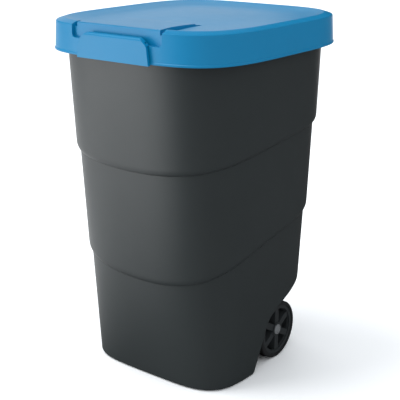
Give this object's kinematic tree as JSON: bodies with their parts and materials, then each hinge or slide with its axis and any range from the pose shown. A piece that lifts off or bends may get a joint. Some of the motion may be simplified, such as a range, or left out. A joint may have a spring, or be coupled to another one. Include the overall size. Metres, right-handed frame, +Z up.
{
  "type": "wheelie bin",
  "caption": "Tapered household bin with two stepped tiers, hinged lid with a latch lever, rear grip bar and spoked wheels on an axle.",
  "frame": {"origin": "on the floor under the middle of the tub's rim", "axes": "+Z up, -Y to the front with the latch, +X to the side of the right wheel"},
  "size_m": [0.4674, 0.5655, 0.7566],
  "materials": {
    "tub_plastic": "satin, fine moulded texture",
    "lid_plastic": "satin, fine moulded texture",
    "wheel_plastic": "satin",
    "tyre_plastic": "matte",
    "cap_plastic": "satin",
    "steel": "zinc plated"
  },
  "bodies": {
    "bin": {"tub": "tub_plastic", "rear_grip": "tub_plastic", "grip_screws": "steel", "hinge_pin_left": "steel", "hinge_pin_right": "steel", "axle": "steel", "axle_clip_left": "tub_plastic", "axle_clip_right": "tub_plastic", "axle_spacer_left": "wheel_plastic", "retainer_left": "steel", "axle_spacer_right": "wheel_plastic", "retainer_right": "steel"},
    "lid": {"lid": "lid_plastic", "latch_pin": "steel"},
    "latch": {"latch_lever": "lid_plastic"},
    "wheel_left": {"wheel_left": "wheel_plastic", "tyre_left": "tyre_plastic", "wheel_bush_left": "wheel_plastic", "hub_cap_left": "cap_plastic"},
    "wheel_right": {"wheel_right": "wheel_plastic", "tyre_right": "tyre_plastic", "wheel_bush_right": "wheel_plastic", "hub_cap_right": "cap_plastic"}
  },
  "joints": [
    {"name": "lid_hinge", "type": "hinge", "parent": "bin", "child": "lid", "pos_m": [0, 0.289, 0.652], "axis": [-1, 0, 0], "range_deg": [0, 225]},
    {"name": "latch_hinge", "type": "hinge", "parent": "lid", "child": "latch", "pos_m": [0, -0.2545, 0.732], "axis": [-1, 0, 0], "range_deg": [0, 40]},
    {"name": "wheel_left_spin", "type": "hinge", "parent": "bin", "child": "wheel_left", "pos_m": [-0.1585, 0.066, 0.065], "axis": [1, 0, 0], "continuous": true},
    {"name": "wheel_right_spin", "type": "hinge", "parent": "bin", "child": "wheel_right", "pos_m": [0.1585, 0.066, 0.065], "axis": [1, 0, 0], "continuous": true}
  ]
}
